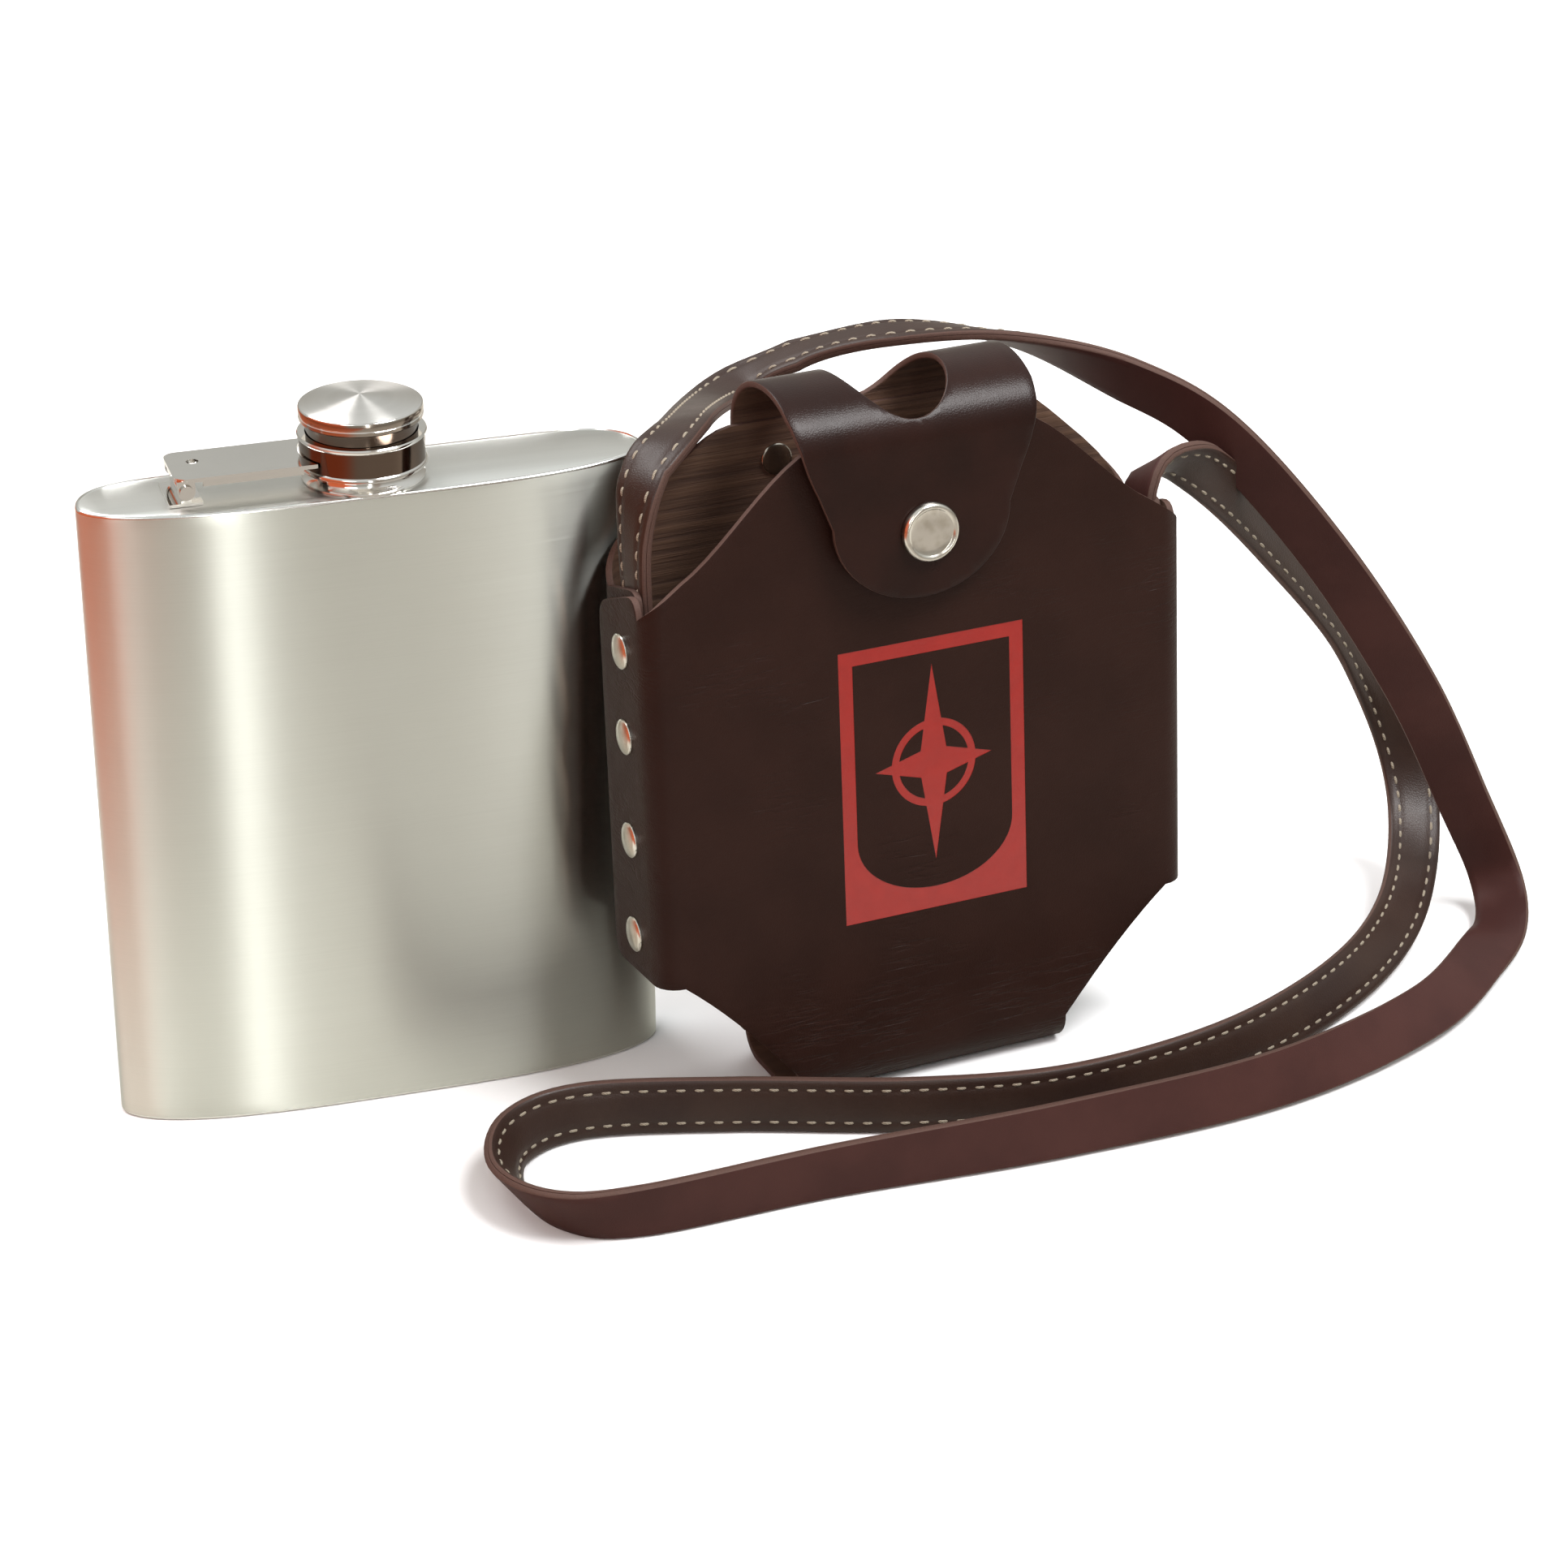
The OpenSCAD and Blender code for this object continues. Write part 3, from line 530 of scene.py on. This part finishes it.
turned_steel = Finish("turned_steel", metallic=1.0, roughness=0.3, anisotropic=0.9, anisotropic_rotation=0.25)
cap_place = turned_steel.node("Mapping", {}, {"Vector": turned_steel.node("TexCoord", out=3),
                                             "Location": -axis_foot, "Scale": (1, 1, 0)})
cap_radius = turned_steel.node("VectorMath", {"operation": "LENGTH"}, {0: cap_place}, 1)
tool_marks = turned_steel.node("TexNoise", {"noise_dimensions": "1D"},
                               {"W": cap_radius, "Scale": 1 / (0.25 * mm), "Detail": 2.0})
turned_steel.set("Base Color", turned_steel.mix(tool_marks, (0.66, 0.64, 0.61), (0.82, 0.8, 0.77)))
turned_steel.set("Normal", turned_steel.bump(tool_marks, 0.006 * mm))
# The skirt has painted shade, and the side bands of the head have a painted dim reflection.
cap = turned("cap_head", [(11.8, 11.4), (11.8, 3.7), (14.1, 3.7), (14.1, 4.6), (13.4, 4.6), (13.4, 14.6),
                          (13.6, 14.9), (14.6, 14.9), (14.9, 15.2), (14.9, 16.0), (14.8, 16.1), (14.8, 16.3),
                          (14.9, 16.4), (14.9, 18.0), (14.75, 18.25), (14.5, 18.4), (10, 19.05), (5, 19.78),
                          (0, 20.5)],
             [polished_steel, turned_steel, painted_shade_steel, painted_dim_reflection_steel],
             lambda j: 1 if j >= 15 else 2 if j == 4 else 3 if j in (8, 12) else 0)
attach(cap, "cap")
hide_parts("screw_cap")
silicone = Finish("silicone", roughness=0.55)
silicone.set("Base Color", silicone.mix(silicone.grain(3 * mm), (0.72, 0.72, 0.7), (0.8, 0.8, 0.78)))
refinish("cap_seal", silicone)

# ---- Case ----
# One leather blank, smooth side out: a front and a back panel joined by a strip at the bottom,
# with four wings that fold over each other at the sides and are riveted.
case_lean = math.radians(4)
case_depth = 33 * mm
fold_round = 8 * mm
wing_round = 6 * mm
leather_thick = 1.6 * mm
case_width = 145 * mm
shoulder = 139 * mm
panel_depth = 2 * fold_round + (case_depth - 2 * fold_round) * math.cos(case_lean)
back_foot = fold_round - (case_depth - 2 * fold_round) * math.sin(case_lean)
case_corner = Vector((63.5, -26.5, 0)) * mm
case_turn = math.radians(7.5)
case_stand = Matrix.Translation(case_corner) @ Matrix.Rotation(case_turn, 4, "Z")
case_panels = (case_stand @ Matrix.Translation((0, fold_round, fold_round))
               @ Matrix.Rotation(-case_lean, 4, "X") @ Matrix.Translation((0, -fold_round, -fold_round)))


def ease(t):
    """A soft step from 0 to 1."""
    t = min(max(t, 0), 1)
    return t * t * (3 - 2 * t)


def bend(start, control, end, steps=8):
    """Points on a bend from the start to the end, pulled towards the control point."""
    return [(1 - t) ** 2 * Vector(start) + 2 * t * (1 - t) * Vector(control) + t * t * Vector(end)
            for t in (i / steps for i in range(steps + 1))]


def rounded(points, radius):
    """The polygon with each corner that has a radius cut round."""
    out = []
    for i, p in enumerate(points):
        p = Vector(p)
        if not radius[i]:
            out.append(p)
            continue
        back, on = Vector(points[i - 1]) - p, Vector(points[(i + 1) % len(points)]) - p
        out += bend(p + back.normalized() * radius[i], p, p + on.normalized() * radius[i], 5)
    return out


def inside(point, loop):
    """Whether the point lies inside the loop."""
    hits = False
    for a, b in zip(loop, loop[1:] + loop[:1]):
        if (a.y > point.y) != (b.y > point.y):
            if point.x < a.x + (point.y - a.y) * (b.x - a.x) / (b.y - a.y):
                hits = not hits
    return hits


def within(point, loops):
    """Whether the point lies in the area that the loops bound together."""
    return sum(inside(point, loop) for loop in loops) % 2 == 1


def triangles_between(points, edges, loops, least=0):
    """The flat points and the triangles between the loops whose doubled area is at least the least."""
    flat, _, triangles, *_ = delaunay_2d_cdt(points, edges, [], 0, 1e-9)
    kept = [(a, b, c) for a, b, c in triangles
            if abs((flat[b] - flat[a]).cross(flat[c] - flat[a])) >= least
            and within((flat[a] + flat[b] + flat[c]) / 3, loops)]
    return flat, kept


edge_step = 1.6 * mm
fold_step = 1.25 * mm
row_shift = 0.037 * mm
edge_clearance = 0.8 * mm
least_triangle = 1e-3 * mm * mm


def leather_sheet(name, loops, place, fine_u, fine_v, finishes, spacing=3.2 * mm):
    """A sheet cut along the loops and bent by place(), which gives the outer face of each flat point.
    The fine ranges get closer rows, for the folds."""
    edge_points, edges = [], []
    for loop in loops:
        dense = []
        for a, b in zip(loop, loop[1:] + loop[:1]):
            steps = max(1, round((b - a).length / edge_step))
            dense += [a.lerp(b, i / steps) for i in range(steps)]
        first = len(edge_points)
        edge_points += dense
        edges += [(first + i, first + (i + 1) % len(dense)) for i in range(len(dense))]
    tree = kdtree.KDTree(len(edge_points))
    for i, p in enumerate(edge_points):
        tree.insert((*p, 0), i)
    tree.balance()

    def rows(low, high, fine):
        values = [low]
        while values[-1] < high:
            close = any(a <= values[-1] <= b for a, b in fine)
            values.append(values[-1] + (fold_step if close else spacing))
        return values

    us = rows(min(p.x for p in edge_points), max(p.x for p in edge_points), fine_u)
    vs = rows(min(p.y for p in edge_points), max(p.y for p in edge_points), fine_v)
    points = list(edge_points)
    for row, v in enumerate(vs):
        for u in us:
            p = Vector((u + (row_shift if row % 2 else 0), v))
            if within(p, loops) and tree.find((*p, 0))[2] > edge_clearance:
                points.append(p)
    flat, kept = triangles_between(points, edges, loops, least_triangle)
    sheet = mesh_piece(name, [place(p.x, p.y) for p in flat], kept, finishes, sharp=180)
    work = bmesh.new()
    work.from_mesh(sheet.data)
    bmesh.ops.delete(work, geom=[v for v in work.verts if not v.link_faces], context="VERTS")
    work.to_mesh(sheet.data)
    work.free()
    thick = sheet.modifiers.new("thickness", "SOLIDIFY")
    thick.thickness = leather_thick
    thick.offset = -1
    thick.material_offset = 1
    thick.material_offset_rim = 2
    worn = sheet.modifiers.new("burnished_edges", "BEVEL")
    worn.width = 0.3 * mm
    worn.segments = 2
    worn.angle_limit = math.radians(60)
    return sheet


front_side = case_width / 2 - wing_round
back_side = front_side - leather_thick - 0.1 * mm
arc = wing_round * math.pi / 2
front_arc = (math.pi / 2 + case_lean) * fold_round
back_arc = (math.pi / 2 - case_lean) * fold_round
strip_flat = case_depth - 2 * fold_round
strip_end = fold_round - front_arc - strip_flat - back_arc


def back_v(z):
    """The place on the flat blank of a height on the back panel, or the other way round."""
    return strip_end + back_foot - z


def blank_place(u, v):
    """Bends the blank: v falls down the front, under the bottom and up the back, and the wings
    beyond the sides turn inwards."""
    if v >= fold_round:
        base, out, side = Vector((0, 0, v)), Vector((0, -1, 0)), front_side
    elif v <= strip_end:
        base, out, side = Vector((0, panel_depth, back_v(v))), Vector((0, 1, 0)), back_side
    else:
        down = fold_round - v
        if down < front_arc:
            a = math.pi - case_lean + down / fold_round
            y, z = fold_round + fold_round * math.cos(a), fold_round + fold_round * math.sin(a)
        elif down < front_arc + strip_flat:
            y, z = fold_round + down - front_arc, 0
        else:
            a = 1.5 * math.pi + (down - front_arc - strip_flat) / fold_round
            y, z = case_depth - fold_round + fold_round * math.cos(a), fold_round + fold_round * math.sin(a)
        return case_stand @ Vector((u, y, z))
    extra = abs(u) - side
    if extra <= 0:
        return case_panels @ (base + Vector((u, 0, 0)))
    a = min(extra / wing_round, math.pi / 2)
    across = math.copysign(side + wing_round * math.sin(a), u)
    deep = wing_round * (1 - math.cos(a)) + max(0, extra - arc)
    return case_panels @ (base + Vector((across, 0, 0)) - out * deep)


front_wing = front_side + arc + panel_depth - 3.5 * mm - wing_round
back_wing = back_side + arc + panel_depth - 2 * wing_round - 3 * mm
front_rise = 32 * mm
back_rise = 29 * mm
front_edge = [Vector((x, shoulder + front_rise * ease((72 * mm - x) / (50 * mm))))
              for x in (i * 3.5 * mm for i in range(6, 19))]
back_edge = [Vector((x, back_v(shoulder) - back_rise * ease((79 * mm - x) / (45 * mm))))
             for x in (i * 3.2 * mm for i in range(8, 20))]
wing_fall = 8 * mm
wing_foot = 38 * mm
wing_corner = 5 * mm
strip_half = 37.5 * mm
foot_bend = (54 * mm, 28 * mm)
half_blank = front_edge + rounded([
    (front_side + arc, shoulder), (front_wing, shoulder - wing_fall), (front_wing, wing_foot),
    (front_side, wing_foot)], [6 * mm, wing_corner, wing_corner, 0])
half_blank += bend((front_side, wing_foot), foot_bend, (strip_half, fold_round))[1:]
half_blank += bend((strip_half, strip_end), (foot_bend[0], back_v(foot_bend[1])),
                   (back_side, back_v(wing_foot)))
half_blank += rounded([
    (back_side, back_v(wing_foot)), (back_wing, back_v(wing_foot)), (back_wing, back_v(shoulder)),
    (back_side + arc, back_v(shoulder - wing_fall / 2))], [0, wing_corner, wing_corner, 0])[1:]
half_blank += list(reversed(back_edge))
blank = half_blank + [Vector((-p.x, p.y)) for p in reversed(half_blank)]

flesh_side = Finish("flesh_side", roughness=0.8)
fibre_rows = flesh_side.grain(30 * mm, 4, 0.65, (0.5, 1, 16))
flesh_side.set("Base Color", flesh_side.mix(fibre_rows.between(0.3, 0.7),
                                            (0.05, 0.022, 0.013), (0.12, 0.062, 0.036)))
flesh_side.set("Normal", flesh_side.bump(fibre_rows, 0.5 * mm))

# The emblem is pressed into the front panel. Its sizes are in millimetres, and its middle is given
# from the foot of the panel.
press_depth = 0.3
emblem_middle = Vector((2, 81.3))
emblem_width = 50
emblem_height = 71.5
emblem_border = 3.8


def emblem_loops():
    """The frame's two outlines and the star with its ring, in millimetres from the emblem's middle."""
    half, top = emblem_width / 2, emblem_height / 2
    field, field_top = half - emblem_border, top - emblem_border
    frame_outer = [Vector((-half, -top)), Vector((half, -top)), Vector((half, top)), Vector((-half, top))]
    frame_inner = [Vector((-field, field_top))] + [Vector((field * math.cos(a), -15 + 15 * math.sin(a)))
                   for a in (math.pi + i * math.pi / 32 for i in range(33))] + [Vector((field, field_top))]
    reach = [16, 5, 26, 5] * 2
    star = [Vector((r * math.cos(i * math.pi / 4), 3 + r * math.sin(i * math.pi / 4)))
            for i, r in enumerate(reach)]
    circles = [[Vector((r * math.cos(a), 3 + r * math.sin(a))) for a in (i * math.pi / 32 for i in range(64))]
               for r in (11.5, 9.5)]
    return [frame_outer, frame_inner], [star], circles


def pressed(name, loops, depth, proud):
    """A solid of the area between the loops, from the depth under the front panel's face to proud of it."""
    points, edges = [], []
    for loop in loops:
        first = len(points)
        points += loop
        edges += [(first + i, first + (i + 1) % len(loop)) for i in range(len(loop))]
    flat, kept = triangles_between(points, edges, loops)
    n = len(flat)
    solid = [case_panels @ (Vector((emblem_middle.x + p.x, y, emblem_middle.y + p.y)) * mm)
             for y in (-proud, depth) for p in flat]
    faces = kept + [(n + c, n + b, n + a) for a, b, c in kept]
    sides = [side for a, b, c in kept for side in ((a, b), (b, c), (c, a))]
    faces += [(b, a, a + n, b + n) for a, b in sides if (b, a) not in sides]
    return mesh_piece(name, solid, faces, [dark_leather], sharp=30)


wing_folds = [(a - 1 * mm, a + arc + 1 * mm) for a in (front_side, -front_side - arc)]
foot_fold = (strip_end - 1 * mm, fold_round + 1 * mm)
case_skin = leather_sheet("case_leather", [blank], blank_place, wing_folds, [foot_fold],
                          [dark_leather, flesh_side, cut_edge])
for loops in emblem_loops():
    punch = pressed("punch", loops, press_depth, 1.0)
    cut = case_skin.modifiers.new("emblem_press", "BOOLEAN")
    cut.operation = "DIFFERENCE"
    cut.solver = "EXACT"
    cut.object = punch
    settled = bpy.data.meshes.new_from_object(case_skin.evaluated_get(bpy.context.evaluated_depsgraph_get()))
    case_skin.modifiers.clear()
    case_skin.data = settled
    bpy.data.objects.remove(punch)
case_skin.data.set_sharp_from_angle(angle=math.radians(32))
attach(case_skin, "case")
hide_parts("case_body")

# ---- Flap ----
# A tongue of the same leather, riveted to the back panel. It bends over the mouth, with a round
# window at the bend that leaves two arms, and hangs down the front as far as the press stud.
flap_middle = -1.5 * mm
flap_half = 32.5 * mm
tongue_half = 23.5 * mm
flap_root = 146 * mm
flap_tip = 129.5 * mm
bend_foot = 168 * mm
bend_turns = 90
flap_gap = 3.2 * mm
bend_rise = 14.8 * mm
back_reach = panel_depth + leather_thick
front_reach = -flap_gap - leather_thick
bend_centre = (back_reach + front_reach) / 2
bend_reach = (back_reach - front_reach) / 2
bend_path = [Vector((bend_centre + bend_reach * math.cos(a), bend_foot + bend_rise * math.sin(a)))
             for a in (i * math.pi / bend_turns for i in range(bend_turns + 1))]
bend_lengths = [0]
for a, b in zip(bend_path, bend_path[1:]):
    bend_lengths.append(bend_lengths[-1] + (b - a).length)
bend_start = bend_foot - flap_root
bend_end = bend_start + bend_lengths[-1]


def flap_place(u, v):
    """Bends the tongue: v runs up the back, over the mouth and down the front."""
    if v <= bend_start:
        return case_panels @ Vector((flap_middle - u, back_reach, flap_root + v))
    if v >= bend_end:
        return case_panels @ Vector((flap_middle - u, front_reach, bend_foot - (v - bend_end)))
    k = next(i for i in range(bend_turns) if bend_lengths[i + 1] >= v - bend_start)
    t = (v - bend_start - bend_lengths[k]) / (bend_lengths[k + 1] - bend_lengths[k])
    y, z = bend_path[k].lerp(bend_path[k + 1], t)
    return case_panels @ Vector((flap_middle - u, y, z))


tip = bend_end + (bend_foot - flap_tip)
tip_round = 20.5 * mm
half_flap = bend((26.5 * mm, 0), (flap_half, 0), (flap_half, 6 * mm), 5)
half_flap += [Vector((flap_half, bend_end - 12 * mm))]
half_flap += bend((flap_half - 0.2 * mm, bend_end - 9 * mm), (30.5 * mm, bend_end + 2 * mm),
                  (27 * mm, bend_end + 9 * mm))[1:]
half_flap += [Vector((tongue_half * math.cos(a), tip - tip_round * (1 - math.sin(a))))
              for a in (i * math.pi / 24 for i in range(12))]
flap_loop = half_flap + [Vector((0, tip))] + [Vector((-p.x, p.y)) for p in reversed(half_flap)]
window_half, window_reach = 14 * mm, 23 * mm
window_centre = (bend_start + bend_end) / 2 - 2.2 * mm
window = [Vector((window_half * math.cos(a), window_centre + window_reach * math.sin(a)))
          for a in (i * math.pi / 24 for i in range(48))]
flap_leather = leather("flap_leather", (0.021, 0.007, 0.005), (0.014, 0.0048, 0.0034), 0.3,
                       0.02 * mm, gloss=0.2)
flap = leather_sheet("flap_leather_tongue", [flap_loop, window], flap_place, [],
                     [(bend_start - 2 * mm, bend_end + 2 * mm)], [flap_leather, flesh_side, cut_edge],
                     spacing=2.6 * mm)
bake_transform(flap)
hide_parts("case_flap", "flap_root")

# ---- Rivets and press stud ----
# Domed double-cap rivets and a press stud, all brass under bright nickel plate. The stud's cap
# has a rolled rim round a nearly flat top.
nickel = Finish("nickel_plate", metallic=1.0, roughness=0.17)
wear = nickel.grain(2.5 * mm, 4)
nickel.set("Base Color", nickel.mix(wear.between(0.35, 0.75), (0.72, 0.69, 0.63), (0.58, 0.54, 0.47)))
nickel.set("Roughness", 0.14 + wear * 0.12)
nickel.set("Normal", nickel.bump(nickel.grain(1.2 * mm, 2), 0.01 * mm))
for node in ("side_rivet_heads", "side_rivet_backs", "flap_rivet_heads", "flap_rivet_backs", "snap_stud",
             "snap_stud_back", "snap_socket"):
    refinish(node, nickel)
stud_height = 146 * mm
stud_stand = (case_panels @ Matrix.Translation((0, front_reach, stud_height))
              @ Matrix.Rotation(math.pi / 2, 4, "X"))
stud_cap = turned("stud_cap", [(0, -1.5), (1.9, -1.5), (1.9, 0), (7.3, 0), (7.5, 0.25), (7.5, 0.9),
                               (7.3, 1.5), (6.9, 1.95), (6.5, 2.1), (6.1, 2.0), (5.8, 1.7), (5.6, 1.6),
                               (3, 1.75), (1.5, 1.82), (0, 1.85)], [nickel], stand=stud_stand, turns=72)
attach(stud_cap, "flap")
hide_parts("snap_cap")

# ---- Emblem ----
# A framed arch with a compass star, filled with red gloss foil. The foil lies in the shape that is
# pressed into the front panel.
red_foil = Finish("red_foil", roughness=0.24, coat_weight=0.4, coat_roughness=0.08)
flow = red_foil.grain(4 * mm, 3)
red_foil.set("Base Color", red_foil.mix(flow, (0.25, 0.007, 0.0045), (0.33, 0.01, 0.006)))
red_foil.set("Normal", red_foil.bump(flow + red_foil.grain(0.8 * mm, 2) * 0.3, 0.12 * mm))
refinish("emblem_paint", red_foil)
